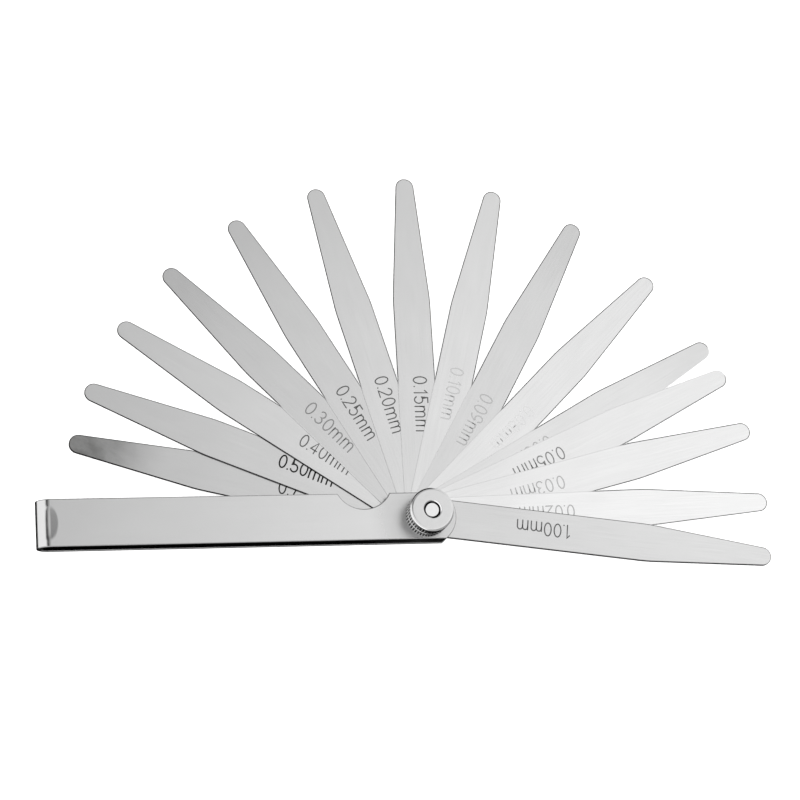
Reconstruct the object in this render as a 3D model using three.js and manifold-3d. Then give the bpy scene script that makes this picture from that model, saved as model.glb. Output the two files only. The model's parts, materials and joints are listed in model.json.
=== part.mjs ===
// Feeler gauge: a fan of seventeen steel thickness blades on one pivot screw, held in a folded steel
// case and clamped by a knurled thumb nut. It lies on its back with the nut on top. Millimetres, +Z up,
// with the origin on the pivot axis at the flat rear face of the screw head. The case runs to -X.

import * as THREE from 'three';
import { mergeVertices } from 'three/addons/utils/BufferGeometryUtils.js';
import Module from 'manifold-3d';

// Blades, listed as they lie in the stack from the back plate to the front plate.
// Each has its thickness and the direction that it points in, in degrees from +X.
const BLADES = [
  { thickness: 0.75, angle: 166.3 },
  { thickness: 0.50, angle: 157.4 },
  { thickness: 0.40, angle: 145.5 },
  { thickness: 0.30, angle: 133.5 },
  { thickness: 0.25, angle: 119.5 },
  { thickness: 0.20, angle: 104.7 },
  { thickness: 0.15, angle: 89.3 },
  { thickness: 0.10, angle: 74.1 },
  { thickness: 0.09, angle: 59.4 },
  { thickness: 0.08, angle: 43.9 },
  { thickness: 0.07, angle: 29.3 },
  { thickness: 0.06, angle: 29.3 },
  { thickness: 0.05, angle: 23.7 },
  { thickness: 0.04, angle: 13.8 },
  { thickness: 0.03, angle: 13.8 },
  { thickness: 0.02, angle: 1.4 },
  { thickness: 1.00, angle: -8.0 },
];
const BLADE_WIDTH = 10.2;
const BLADE_REACH = 94.9; // pivot axis to tip
const BLADE_TIP_RADIUS = 2.5;
const BLADE_TAPER_START = 60.4; // from the pivot axis
const BLADE_GAP = 0.025; // between neighbours in the stack

// Case: one strip folded like a hairpin, open along both long sides.
const CASE_PLATE = 0.8;
const CASE_WIDTH = 12.5;
const CASE_REACH = 101.6; // pivot axis to the outside of the bend
const CASE_END_RADIUS = 7.9; // rounded pivot end, about the pivot axis
const NOTCH_RADIUS = 7.75; // thumb notch in the +Y edge of both plates
const NOTCH_X = -16.5;
const NOTCH_DEPTH = 4.2;

// Pivot screw: low round head, square neck in the back plate, plain shank up to the chamfered end.
const SCREW_RADIUS = 2.0;
const SCREW_HEAD_RADIUS = 4.5;
const SCREW_HEAD_HEIGHT = 1.0;
const SCREW_HEAD_CHAMFER = 0.25;
const SCREW_NECK_SIDE = 4.0;
const SCREW_NECK_HEIGHT = 0.6;
const SCREW_END_CHAMFER = 0.35;
const SCREW_END_RECESS = 0.65; // below the top of the nut
const SQUARE_HOLE_SIDE = 4.4;
const ROUND_HOLE_RADIUS = 2.3; // blades and front plate

// Thumb nut: straight knurl in two bands with a groove between them.
const NUT_RADIUS = 5.85; // over the teeth
const NUT_HEIGHT = 6.7;
const NUT_BEVEL_HEIGHT = 0.6;
const NUT_TOP_RADIUS = 5.2;
const NUT_FOOT_CHAMFER = 0.3;
const NUT_GROOVE_BOTTOM = 2.9; // above the nut's foot
const NUT_GROOVE_WIDTH = 0.5;
const NUT_GROOVE_DEPTH = 0.45;
const NUT_TEETH = 46;
const NUT_TOOTH_DEPTH = 0.25;
const NUT_BORE_RADIUS = 2.3;
const NUT_BORE_CHAMFER = 0.15;
const NUT_GAP = 0.05; // running gap above the front plate

// Heights that follow from the sizes above.
const STACK = BLADES.reduce((sum, blade) => sum + blade.thickness + BLADE_GAP, BLADE_GAP);
const CASE_BACK_Z = SCREW_HEAD_HEIGHT;
const STACK_Z = CASE_BACK_Z + CASE_PLATE;
const FRONT_PLATE_Z = STACK_Z + STACK;
const CASE_FRONT_Z = FRONT_PLATE_Z + CASE_PLATE;
const NUT_Z = CASE_FRONT_Z + NUT_GAP;
const SCREW_END_Z = NUT_Z + NUT_HEIGHT - SCREW_END_RECESS;

const ROUND_SEGMENTS = 40; // round pieces
const HOLE_SEGMENTS = 20;
const ARC_STEPS = 12; // blade tips, blade roots and the case's rounded end

const MANIFOLD = await Module();
MANIFOLD.setup();

// A closed three.js geometry as a solid that can be cut and joined.
function toSolid(geometry) {
  const bare = geometry.index ? geometry.toNonIndexed() : geometry.clone();
  bare.deleteAttribute('normal');
  bare.deleteAttribute('uv');
  const merged = mergeVertices(bare, 1e-5);
  const mesh = new MANIFOLD.Mesh({
    numProp: 3,
    vertProperties: new Float32Array(merged.attributes.position.array),
    triVerts: new Uint32Array(merged.index.array),
  });
  return new MANIFOLD.Manifold(mesh);
}

// A solid back as a three.js geometry.
function toGeometry(solid) {
  const mesh = solid.getMesh();
  const geometry = new THREE.BufferGeometry();
  geometry.setAttribute('position', new THREE.BufferAttribute(mesh.vertProperties, 3));
  geometry.setIndex(new THREE.BufferAttribute(mesh.triVerts, 1));
  return geometry;
}

// A flat outline made into a plate from height low to height high.
function plate(shape, low, high) {
  const settings = { depth: high - low, bevelEnabled: false, curveSegments: ARC_STEPS };
  return new THREE.ExtrudeGeometry(shape, settings).translate(0, 0, low);
}

// A solid of revolution about Z from a closed [radius, height] profile.
function turned(profile, segments = ROUND_SEGMENTS) {
  const points = [...profile, profile[0]].map(([radius, height]) => new THREE.Vector2(radius, height));
  return toSolid(new THREE.LatheGeometry(points, segments).rotateX(Math.PI / 2));
}

function squareShape(side) {
  const half = side / 2;
  return new THREE.Shape([
    new THREE.Vector2(-half, -half),
    new THREE.Vector2(half, -half),
    new THREE.Vector2(half, half),
    new THREE.Vector2(-half, half),
  ]);
}

function roundHole(radius) {
  const points = [];
  for (let step = 0; step < HOLE_SEGMENTS; step += 1) {
    const angle = (step / HOLE_SEGMENTS) * 2 * Math.PI;
    points.push(new THREE.Vector2(radius * Math.cos(angle), radius * Math.sin(angle)));
  }
  return new THREE.Path(points);
}

function makeMesh(name, geometry, color, roughness, metalness) {
  const material = new THREE.MeshStandardMaterial({ color, roughness, metalness });
  const mesh = new THREE.Mesh(geometry, material);
  mesh.name = name;
  return mesh;
}

// Blade outline along +X: round root about the pivot, parallel sides, a straight taper, a round tip.
function bladeShape() {
  const half = BLADE_WIDTH / 2;
  const tipX = BLADE_REACH - BLADE_TIP_RADIUS;
  const run = tipX - BLADE_TAPER_START;
  const slope = Math.atan2(half, run) - Math.asin(BLADE_TIP_RADIUS / Math.hypot(run, half));
  const tipAngle = Math.PI / 2 - slope;
  const shape = new THREE.Shape();
  shape.absarc(0, 0, half, Math.PI / 2, 1.5 * Math.PI, false);
  shape.lineTo(BLADE_TAPER_START, -half);
  shape.absarc(tipX, 0, BLADE_TIP_RADIUS, -tipAngle, tipAngle, false);
  shape.lineTo(BLADE_TAPER_START, half);
  shape.closePath();
  shape.holes.push(roundHole(ROUND_HOLE_RADIUS));
  return shape;
}

function bladeName(thickness) {
  return `blade_${thickness.toFixed(2).replace('.', '_')}`;
}

// All the blades, each at its own height in the stack and turned to its own direction.
function makeBlades() {
  const shape = bladeShape();
  const group = new THREE.Group();
  let low = STACK_Z + BLADE_GAP;
  for (const { thickness, angle } of BLADES) {
    const mesh = makeMesh(bladeName(thickness), plate(shape, 0, thickness), 0xc9cacb, 0.3, 1.0);
    mesh.position.z = low;
    mesh.rotation.z = THREE.MathUtils.degToRad(angle);
    group.add(mesh);
    low += thickness + BLADE_GAP;
  }
  return group;
}

// The hairpin seen from the side, in X and Z, swept across more than the case's width.
function hairpinSolid() {
  const middle = (CASE_BACK_Z + CASE_FRONT_Z) / 2;
  const outer = (CASE_FRONT_Z - CASE_BACK_Z) / 2;
  const inner = outer - CASE_PLATE;
  const bendX = outer - CASE_REACH;
  const endX = CASE_END_RADIUS + 1;
  const shape = new THREE.Shape();
  shape.absarc(bendX, middle, outer, Math.PI / 2, 1.5 * Math.PI, false);
  shape.lineTo(endX, middle - outer);
  shape.lineTo(endX, middle - inner);
  shape.absarc(bendX, middle, inner, 1.5 * Math.PI, Math.PI / 2, true);
  shape.lineTo(endX, middle + inner);
  shape.lineTo(endX, middle + outer);
  shape.closePath();
  return toSolid(plate(shape, -CASE_WIDTH, CASE_WIDTH).rotateX(Math.PI / 2));
}

// The case seen from above: straight sides, the rounded pivot end and the thumb notch.
function caseOutlineSolid() {
  const half = CASE_WIDTH / 2;
  const corner = Math.asin(half / CASE_END_RADIUS);
  const notchY = half - NOTCH_DEPTH + NOTCH_RADIUS;
  const notchCorner = Math.asin((half - notchY) / NOTCH_RADIUS);
  const shape = new THREE.Shape();
  shape.absarc(0, 0, CASE_END_RADIUS, -corner, corner, false);
  shape.absarc(NOTCH_X, notchY, NOTCH_RADIUS, notchCorner, -Math.PI - notchCorner, true);
  shape.lineTo(-CASE_REACH - 1, half);
  shape.lineTo(-CASE_REACH - 1, -half);
  shape.closePath();
  return toSolid(plate(shape, CASE_BACK_Z - 1, CASE_FRONT_Z + 1));
}

function makeCase() {
  const middle = (CASE_BACK_Z + CASE_FRONT_Z) / 2;
  const frontHole = plate(new THREE.Shape(roundHole(ROUND_HOLE_RADIUS).getPoints()), middle, CASE_FRONT_Z + 1);
  const backHole = plate(squareShape(SQUARE_HOLE_SIDE), CASE_BACK_Z - 1, middle);
  const solid = hairpinSolid()
    .intersect(caseOutlineSolid())
    .subtract(toSolid(frontHole))
    .subtract(toSolid(backHole));
  return makeMesh('case', toGeometry(solid), 0xc4c5c6, 0.38, 1.0);
}

function makePivotScrew() {
  const rim = SCREW_HEAD_RADIUS - SCREW_HEAD_CHAMFER;
  const body = turned([
    [0, 0],
    [rim, 0],
    [SCREW_HEAD_RADIUS, SCREW_HEAD_CHAMFER],
    [SCREW_HEAD_RADIUS, SCREW_HEAD_HEIGHT],
    [SCREW_RADIUS, SCREW_HEAD_HEIGHT],
    [SCREW_RADIUS, SCREW_END_Z - SCREW_END_CHAMFER],
    [SCREW_RADIUS - SCREW_END_CHAMFER, SCREW_END_Z],
    [0, SCREW_END_Z],
  ]);
  const neckTop = SCREW_HEAD_HEIGHT + SCREW_NECK_HEIGHT;
  const neck = toSolid(plate(squareShape(SCREW_NECK_SIDE), SCREW_HEAD_HEIGHT / 2, neckTop));
  return makeMesh('pivot_screw', toGeometry(body.add(neck)), 0xd0d1d2, 0.25, 1.0);
}

// The toothed outline that cuts the straight knurl into the nut's side.
function knurlSolid(low, high) {
  const points = [];
  for (let tooth = 0; tooth < NUT_TEETH; tooth += 1) {
    const crest = (tooth / NUT_TEETH) * 2 * Math.PI;
    const root = crest + Math.PI / NUT_TEETH;
    const rootRadius = NUT_RADIUS - NUT_TOOTH_DEPTH;
    points.push(new THREE.Vector2(NUT_RADIUS * Math.cos(crest), NUT_RADIUS * Math.sin(crest)));
    points.push(new THREE.Vector2(rootRadius * Math.cos(root), rootRadius * Math.sin(root)));
  }
  return toSolid(plate(new THREE.Shape(points), low, high));
}

function makeThumbNut() {
  const top = NUT_Z + NUT_HEIGHT;
  const grooveLow = NUT_Z + NUT_GROOVE_BOTTOM;
  const grooveHigh = grooveLow + NUT_GROOVE_WIDTH;
  const blank = NUT_RADIUS + NUT_TOOTH_DEPTH; // turned blank, wider than the teeth
  const body = turned([
    [NUT_BORE_RADIUS + NUT_BORE_CHAMFER, NUT_Z],
    [NUT_RADIUS - NUT_FOOT_CHAMFER, NUT_Z],
    [NUT_RADIUS, NUT_Z + NUT_FOOT_CHAMFER],
    [blank, NUT_Z + NUT_FOOT_CHAMFER],
    [blank, grooveLow],
    [NUT_RADIUS - NUT_GROOVE_DEPTH, grooveLow],
    [NUT_RADIUS - NUT_GROOVE_DEPTH, grooveHigh],
    [blank, grooveHigh],
    [blank, top - NUT_BEVEL_HEIGHT],
    [NUT_RADIUS, top - NUT_BEVEL_HEIGHT],
    [NUT_TOP_RADIUS, top],
    [NUT_BORE_RADIUS + NUT_BORE_CHAMFER, top],
    [NUT_BORE_RADIUS, top - NUT_BORE_CHAMFER],
    [NUT_BORE_RADIUS, NUT_Z + NUT_BORE_CHAMFER],
  ]);
  const solid = body.intersect(knurlSolid(NUT_Z - 1, top + 1));
  return makeMesh('thumb_nut', toGeometry(solid), 0xbfc0c2, 0.3, 1.0);
}

const feelerGauge = new THREE.Group();
feelerGauge.name = 'feeler_gauge';
feelerGauge.add(makeCase(), makePivotScrew(), makeBlades(), makeThumbNut());

export default feelerGauge;
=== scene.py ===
"""Feeler gauge: seventeen steel thickness blades fanned out of a folded sheet-steel case.

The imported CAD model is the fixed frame. Every piece is built again here with its fine shape and its
finish, in the place that the frame gives, and rides on its own body, so that the blades fold away and
the thumb nut turns. Sizes in the classes are millimetres, and meshes are metres.
"""

import json
import logging
import math
from dataclasses import dataclass, field
from enum import Enum
from typing import Any, Callable, Dict, List, Optional, Sequence, Tuple

import bmesh
import bpy
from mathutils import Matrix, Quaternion, Vector


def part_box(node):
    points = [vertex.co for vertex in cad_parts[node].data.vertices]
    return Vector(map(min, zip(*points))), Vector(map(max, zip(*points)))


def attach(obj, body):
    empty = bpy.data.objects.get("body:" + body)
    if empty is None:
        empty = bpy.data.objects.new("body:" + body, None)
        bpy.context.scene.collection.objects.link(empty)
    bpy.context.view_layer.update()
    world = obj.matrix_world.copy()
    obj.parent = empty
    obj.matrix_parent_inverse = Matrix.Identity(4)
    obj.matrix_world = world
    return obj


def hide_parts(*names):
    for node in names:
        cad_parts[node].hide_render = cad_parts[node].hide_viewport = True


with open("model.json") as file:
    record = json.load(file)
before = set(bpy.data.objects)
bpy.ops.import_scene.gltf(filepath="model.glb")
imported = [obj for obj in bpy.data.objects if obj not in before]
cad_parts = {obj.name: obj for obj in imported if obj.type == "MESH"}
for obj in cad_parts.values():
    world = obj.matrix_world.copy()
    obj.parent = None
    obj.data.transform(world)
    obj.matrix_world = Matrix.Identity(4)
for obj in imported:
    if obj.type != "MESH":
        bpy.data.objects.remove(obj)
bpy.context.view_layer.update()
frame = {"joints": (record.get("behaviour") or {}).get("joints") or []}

MM = 0.001
LOG = logging.getLogger("feeler_gauge")

Point = Tuple[float, float]
Loop = List[Point]
Mesh = bmesh.types.BMesh
Verts = List[bmesh.types.BMVert]
Material = bpy.types.Material
Tree = bpy.types.NodeTree

# Points round the screw, the floor and the backdrop.
ROUND = 96


# ---------------------------------------------------------------------------------------------------
# Outlines and meshes


def arc(centre: Point, radii: Point, start: float, end: float, steps: int) -> Loop:
    """Points along a round or oval arc, both ends included.

    Args:
        centre: Middle of the arc.
        radii: Half width and half height of the whole oval.
        start: Angle of the first point, in degrees from +X.
        end: Angle of the last point.
        steps: Number of chords.

    Returns:
        The points in order.
    """
    angles = [math.radians(start + (end - start) * step / steps) for step in range(steps + 1)]
    return [(centre[0] + radii[0] * math.cos(a), centre[1] + radii[1] * math.sin(a)) for a in angles]


def circle(radius: float, steps: int, centre: Point = (0.0, 0.0)) -> Loop:
    """A closed round loop whose first point isn't repeated.

    Args:
        radius: Radius of the loop.
        steps: Number of points.
        centre: Middle of the loop.

    Returns:
        The points in order.
    """
    return arc(centre, (radius, radius), 0.0, 360.0, steps)[:-1]


def rounded_edge(thickness: float, across: float, deep: float, land: float, steps: int) -> List[Point]:
    """Levels of a plate's rounded edge, from its lower face to its upper face.

    Args:
        thickness: Thickness of the plate.
        across: How far in from the edge each rounding starts.
        deep: How far down the edge each rounding reaches.
        land: Width of the flat band just inside each rounding.
        steps: Number of facets in each rounding.

    Returns:
        Pairs of inset from the outline and height above the lower face.
    """
    turns = [math.pi / 2 * step / steps for step in range(steps + 1)]
    lower = [(across + land, 0.0)]
    lower += [(across * (1 - math.sin(turn)), deep * (1 - math.cos(turn))) for turn in turns]
    return lower + [(inset, thickness - height) for inset, height in reversed(lower)]


def bridge(mesh: Mesh, first: Verts, second: Verts) -> None:
    """Joins two rings that have the same number of points with a band of faces.

    Args:
        mesh: Mesh that the rings belong to.
        first: Points of one ring.
        second: Points of the other ring, in the same order.
    """
    for here, there in zip(range(len(first)), [*range(1, len(first)), 0]):
        mesh.faces.new((first[here], first[there], second[there], second[here]))


def fill_flat(mesh: Mesh, loops: Sequence[Verts]) -> None:
    """Fills a flat outline, less its holes, with triangles.

    Args:
        mesh: Mesh that the loops belong to.
        loops: The outline and then its holes.
    """
    edges = [mesh.edges.get(pair) for loop in loops for pair in zip(loop, loop[1:] + loop[:1])]
    bmesh.ops.triangle_fill(mesh, use_beauty=True, edges=edges)


def stack_rings(mesh: Mesh, rings: Callable[[float], List[Loop]], levels: Sequence[Point]) -> None:
    """Builds a closed plate from an outline and its holes, repeated at each level.

    The two flat faces take the first material, and the rounded edges between them the second.

    Args:
        mesh: Empty mesh that takes the plate.
        rings: Gives the outline and then the holes for an inset from the edge.
        levels: Pairs of inset and height, from the lower face to the upper face.
    """
    made = []
    for inset, height in levels:
        made.append([[mesh.verts.new((x, y, height)) for x, y in loop] for loop in rings(inset)])
    for low, high in zip(made, made[1:]):
        for under, over in zip(low, high):
            bridge(mesh, under, over)
    for face in mesh.faces:
        face.material_index = 1
    fill_flat(mesh, made[0])
    fill_flat(mesh, made[-1])


def wrap_rings(mesh: Mesh, rings: Sequence[Sequence[Vector]], closed: bool) -> None:
    """Skins a row of rings that all have the same number of points.

    Args:
        mesh: Mesh that the skin is added to.
        rings: The rings in order.
        closed: True joins the last ring to the first, and False closes both ends with flat faces.
    """
    made = [[mesh.verts.new(point) for point in ring] for ring in rings]
    for first, second in zip(made, made[1:] + (made[:1] if closed else [])):
        bridge(mesh, first, second)
    if not closed:
        mesh.faces.new(made[0])
        mesh.faces.new(made[-1])


def ribbon(mesh: Mesh, path: Loop, closed: bool, width: float, heights: Point) -> None:
    """Lays a thin flat ribbon with round ends along a path.

    Args:
        mesh: Mesh that the ribbon is added to.
        path: Points along its middle line.
        closed: True for a ring.
        width: Width of the ribbon.
        heights: Heights of its lower and upper faces.
    """
    half = width / 2
    left, right = [], []
    for index, (x, y) in enumerate(path):
        before = path[index - 1] if closed or index else path[0]
        after = path[(index + 1) % len(path)] if closed or index < len(path) - 1 else path[-1]
        into = Vector((x - before[0], y - before[1]))
        out = Vector((after[0] - x, after[1] - y))
        out = out if out.length else into
        into = into if into.length else out
        along = (into.normalized() + out.normalized()).normalized()
        reach = half / max(0.5, along.dot(out.normalized()))
        left.append((x - along.y * reach, y + along.x * reach))
        right.append((x + along.y * reach, y - along.x * reach))
    low, high = heights
    if closed:
        sides = ((left, low), (right, low), (right, high), (left, high))
        rings = [[Vector((*point, height)) for point in side] for side, height in sides]
        wrap_rings(mesh, rings, closed=True)
        return
    outline = left + round_end(path[-2], path[-1], half) + right[::-1] + round_end(path[1], path[0], half)
    floor, roof = ([mesh.verts.new((*point, height)) for point in outline] for height in heights)
    bridge(mesh, floor, roof)
    fill_flat(mesh, [floor])
    fill_flat(mesh, [roof])


def round_end(before: Point, end: Point, radius: float) -> Loop:
    """The points of a ribbon's half-round end, from its left side to its right side.

    Args:
        before: Last point but one of the ribbon's path.
        end: Last point of the path.
        radius: Radius of the end.

    Returns:
        The points in order.
    """
    heading = math.degrees(math.atan2(end[1] - before[1], end[0] - before[0]))
    return arc(end, (radius, radius), heading + 60, heading - 60, 2)


def finished_piece(
    name: str,
    mesh: Mesh,
    materials: Sequence[Material],
    body: str,
    slot: Optional[str],
    stands_for: Optional[str] = None,
    turned_by: float = 0.0,
    sharp_above: float = 40.0,
) -> bpy.types.Object:
    """Turns a mesh in millimetres into a piece that rides on its body.

    Args:
        name: Name of the piece.
        mesh: The shape, which is freed here.
        materials: Materials in the order of the faces' material indices.
        body: CAD body that the piece moves with.
        slot: The record's material slot, or None. Not used.
        stands_for: CAD node that the piece replaces, or None.
        turned_by: Angle of the piece about the pivot axis, in degrees.
        sharp_above: Edges that turn by more degrees than this are drawn sharp.

    Returns:
        The new object.
    """
    bmesh.ops.recalc_face_normals(mesh, faces=mesh.faces[:])
    bmesh.ops.scale(mesh, vec=(MM, MM, MM), verts=mesh.verts[:])
    data = bpy.data.meshes.new(name)
    mesh.to_mesh(data)
    mesh.free()
    data.polygons.foreach_set("use_smooth", [True] * len(data.polygons))
    data.set_sharp_from_angle(angle=math.radians(sharp_above))
    for material in materials:
        data.materials.append(material)
    piece = bpy.data.objects.new(name, data)
    bpy.context.scene.collection.objects.link(piece)
    piece.rotation_euler.z = math.radians(turned_by)
    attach(piece, body)
    if stands_for:
        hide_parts(stands_for)
    LOG.info("%s: %d faces, rides on %s", name, len(data.polygons), body)
    return piece


# ---------------------------------------------------------------------------------------------------
# Finishes


# Types of the nodes that most materials use, and the setting that eases a range at both ends.
PLACE = "ShaderNodeTexCoord"
RANGE = "ShaderNodeMapRange"
MATH = "ShaderNodeMath"
MIX = "ShaderNodeMix"
SMOOTH = {"interpolation_type": "SMOOTHSTEP"}


def linear(colour: str, gain: float = 1.0) -> Tuple[float, float, float, float]:
    """Turns an sRGB hex colour such as "#C8C9CA" into linear red, green, blue and alpha.

    Args:
        colour: The hex colour.
        gain: Multiplies the linear red, green and blue.

    Returns:
        Linear values with an alpha of 1.
    """
    shares = [int(colour[index : index + 2], 16) / 255 for index in (1, 3, 5)]
    bright = [s / 12.92 if s <= 0.04045 else ((s + 0.055) / 1.055) ** 2.4 for s in shares]
    return tuple([min(1.0, gain * value) for value in bright] + [1.0])


def set_inputs(node: bpy.types.Node, inputs: Dict[Any, Any]) -> None:
    """Gives a node's inputs their values and links.

    Args:
        node: The node.
        inputs: For each input's name or number, a value, or the output socket that is linked to it.
    """
    for name, value in inputs.items():
        if isinstance(value, bpy.types.NodeSocket):
            node.id_data.links.new(value, node.inputs[name])
        else:
            node.inputs[name].default_value = value


def add_node(tree: Tree, kind: str, inputs: Any, **settings: Any) -> Any:
    """Adds one node with its settings, values and links.

    Args:
        tree: Node tree that takes the node.
        kind: Blender's name for the node type.
        inputs: What set_inputs takes, or a row of values and sockets for the inputs from number 0 on.
        **settings: Attributes of the node itself.

    Returns:
        The new node's outputs.
    """
    node = tree.nodes.new(kind)
    for name, value in settings.items():
        setattr(node, name, value)
    set_inputs(node, inputs if isinstance(inputs, dict) else dict(enumerate(inputs)))
    return node.outputs


def new_material(name: str) -> Tuple[Material, Tree, bpy.types.Node]:
    """Makes an empty node material.

    Args:
        name: Name of the material.

    Returns:
        The material, its node tree and its shader node.
    """
    material = bpy.data.materials.new(name)
    material.use_nodes = True
    tree = material.node_tree
    return material, tree, tree.nodes["Principled BSDF"]


def stretched_noise(tree: Tree, grain: Tuple[float, float, float], turned_by: float = 0.0) -> Any:
    """Adds noise whose features have a real size along the piece's own axes.

    Args:
        tree: Node tree that takes the nodes.
        grain: Size of one feature along X, Y and Z, in millimetres.
        turned_by: Angle that the pattern is turned by about Z, in degrees.

    Returns:
        The noise's factor output.
    """
    place = add_node(tree, PLACE, {})["Object"]
    turn = add_node(tree, "ShaderNodeMapping", {"Vector": place, "Rotation": (0, 0, math.radians(turned_by))})
    scale = tuple(1 / (size * MM) for size in grain)
    spread = add_node(tree, "ShaderNodeMapping", {"Vector": turn[0], "Scale": scale})
    noise = {"Vector": spread[0], "Scale": 1.0, "Detail": 3.0, "Roughness": 0.6}
    return add_node(tree, "ShaderNodeTexNoise", noise)[0]


@dataclass(frozen=True)
class GroundSpringSteel:
    """Hardened spring steel, ground to thickness and polished along the blade.

    Attributes:
        name: Name of the material.
        tone: Brightness of the steel against the common one, a painted reflection for how much light each
            blade's slight tilt catches.
        tip_darkening: How much the blade is darkened in patches towards its tip, from 0 to 1.
        roughness: Typical roughness of a fine ground and polished face.
        colour: Colour of the polished steel.
        tip_dark_colour: Colour that the tip is darkened towards.
    """

    name: str
    tone: float = 1.0
    tip_darkening: float = 0.0
    roughness: float = 0.2
    colour: str = "#D3D3D3"
    tip_dark_colour: str = "#5A5A58"

    def make(self) -> Material:
        """Makes the material: a cool grey mirror that is just soft enough to blur what it reflects."""
        material, tree, shader = new_material(self.name)
        # Grinding lines run along the blade. They are drawn 0.3 mm wide, wider than the real ones.
        lines = stretched_noise(tree, (14.0, 0.3, 0.3))
        clouds = stretched_noise(tree, (16.0, 7.0, 7.0))
        blotches = stretched_noise(tree, (5.0, 3.0, 3.0), turned_by=20.0)
        place = add_node(tree, PLACE, {})["Object"]
        along = add_node(tree, "ShaderNodeSeparateXYZ", {"Vector": place})[0]
        # Darker in patches towards the tip, as far as the tip darkening asks.
        near_tip = add_node(tree, RANGE, (along, 0.068, 0.092, 0.0, self.tip_darkening), **SMOOTH)[0]
        patchy = add_node(tree, RANGE, (blotches, 0.3, 0.7, 0.75, 1.0), **SMOOTH)[0]
        darkened = add_node(tree, MATH, {0: near_tip, 1: patchy}, operation="MULTIPLY")[0]
        # The tone scales the steel's colour: painted reflection for each blade's tilt.
        darker, lighter = (linear(self.colour, gain * self.tone) for gain in (0.95, 1.04))
        steel = add_node(tree, MIX, {0: clouds, 6: darker, 7: lighter}, data_type="RGBA")[2]
        darkening_mix = {0: darkened, 6: steel, 7: linear(self.tip_dark_colour)}
        colour = add_node(tree, MIX, darkening_mix, data_type="RGBA")[2]
        low, high = self.roughness - 0.03, self.roughness + 0.05
        relief = {"Strength": 0.25, "Distance": 0.0006 * MM, "Height": lines}
        height = add_node(tree, "ShaderNodeBump", relief)
        rough = add_node(tree, RANGE, (lines, 0.25, 0.75, low, high), **SMOOTH)[0]
        set_inputs(shader, {"Base Color": colour, "Roughness": rough, "Normal": height[0], "Metallic": 1.0})
        return material


@dataclass(frozen=True)
class DeburredSteelEdge:
    """The stoned edge all round a blade or a cut in the sheet, coloured greyer than the faces; on the blades
    that dark line is painted shade along the edge.

    Attributes:
        name: Name of the material.
        colour: Colour of the edge, dark on the blades as painted shade.
        unshaded_right: Distance from the pivot, in millimetres, up to which the -Y edge is left without the
            painted shade.
        unshaded_left: The same for the +Y edge.
        unshaded_colour: Colour where the painted shade is left off.
    """

    name: str
    colour: str = "#2C2C2C"
    unshaded_right: float = 0.0
    unshaded_left: float = 0.0
    unshaded_colour: str = "#D6D6D6"

    def make(self) -> Material:
        """Makes the material: a dull dark line of painted shade round each blade, left off where neighbouring
        blades lie across the edge.
        """
        material, tree, shader = new_material(self.name)
        marks = stretched_noise(tree, (0.6, 0.6, 0.2))
        place = add_node(tree, PLACE, {})["Object"]
        along, across = (add_node(tree, "ShaderNodeSeparateXYZ", {"Vector": place})[i] for i in (0, 1))
        # The painted shade is left off near the pivot, as far out as neighbouring blades lie across the edge.
        sides = (across, -0.1 * MM, 0.1 * MM, self.unshaded_right * MM, self.unshaded_left * MM)
        limit = add_node(tree, RANGE, sides, **SMOOTH)[0]
        beyond = add_node(tree, MATH, {0: along, 1: limit}, operation="SUBTRACT")[0]
        fade = (beyond, -2.5 * MM, 1.5 * MM, 0.0 if self.unshaded_left else 1.0, 1.0)
        edge_shade = add_node(tree, RANGE, fade, **SMOOTH)[0]
        shade_colours = {0: edge_shade, 6: linear(self.unshaded_colour), 7: linear(self.colour)}
        base = add_node(tree, MIX, shade_colours, data_type="RGBA")[2]
        shade = {0: 1.0, 6: base, 7: add_node(tree, RANGE, (marks, 0.2, 0.8, 0.9, 1.0), **SMOOTH)[0]}
        colour = add_node(tree, MIX, shade, data_type="RGBA", blend_type="MULTIPLY")[2]
        rough = add_node(tree, RANGE, (marks, 0.3, 0.7, 0.2, 0.28), **SMOOTH)[0]
        set_inputs(shader, {"Base Color": colour, "Roughness": rough, "Metallic": 1.0})
        return material


@dataclass(frozen=True)
class NickelledSheet:
    """Nickel-plated cold-rolled steel sheet, buffed before it was folded into the case.

    Attributes:
        name: Name of the material.
        colour: Colour of the plating.
    """

    name: str = "nickel_plated_sheet_steel"
    colour: str = "#D2D2D2"

    def make(self) -> Material:
        """Makes the material: smooth light grey, with rolling lines, scratches, and a matt rub at the nut."""
        material, tree, shader = new_material(self.name)
        rolling = stretched_noise(tree, (40.0, 0.35, 0.35))
        clouds = stretched_noise(tree, (14.0, 6.0, 6.0))
        tone = {0: clouds, 6: linear(self.colour, 0.97), 7: linear(self.colour, 1.03)}
        colour = add_node(tree, MIX, tone, data_type="RGBA")[2]
        scratches = [stretched_noise(tree, (9.0, 0.12, 0.12), turned_by=angle) for angle in (28.0, -41.0)]
        crossed = add_node(tree, MATH, {0: scratches[0], 1: scratches[1]}, operation="MAXIMUM")
        scuffed = add_node(tree, RANGE, (crossed[0], 0.72, 0.8, 0.0, 0.1), **SMOOTH)[0]
        base = add_node(tree, RANGE, (rolling, 0.25, 0.75, 0.15, 0.19), **SMOOTH)[0]
        place = add_node(tree, PLACE, {})["Object"]
        reach = add_node(tree, "ShaderNodeVectorMath", {0: place}, operation="LENGTH")["Value"]
        rubbed = add_node(tree, RANGE, (reach, 0.012, 0.018, 0.16, 0.0), **SMOOTH)[0]
        rough = add_node(tree, MATH, {0: base, 1: scuffed}, operation="ADD")[0]
        rough = add_node(tree, MATH, {0: rough, 1: rubbed}, operation="ADD")[0]
        relief = {"Strength": 0.2, "Distance": 0.0006 * MM, "Height": rolling}
        height = add_node(tree, "ShaderNodeBump", relief)
        set_inputs(shader, {"Base Color": colour, "Roughness": rough, "Normal": height[0], "Metallic": 1.0})
        return material


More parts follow.
